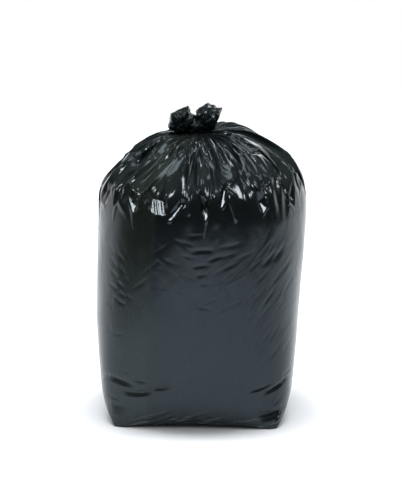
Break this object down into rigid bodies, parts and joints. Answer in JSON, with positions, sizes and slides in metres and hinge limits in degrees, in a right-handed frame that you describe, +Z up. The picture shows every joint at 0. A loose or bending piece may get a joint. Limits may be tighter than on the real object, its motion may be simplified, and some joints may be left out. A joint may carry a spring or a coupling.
{
  "type": "full bin bag",
  "caption": "Full black plastic film bin bag standing on its square base, its pleated mouth tied shut in a crumpled knot.",
  "frame": {"origin": "middle of the bag's box at floor level, under the load", "axes": "+Z up through the knot, -Y is the front face in the picture, +X to the right of that view"},
  "size_m": [0.4534, 0.4314, 0.6643],
  "materials": {
    "black_film": "glossy thin polyethylene film, creased and pleated"
  },
  "bodies": {
    "root": {"bin_bag": "black_film"}
  },
  "joints": []
}
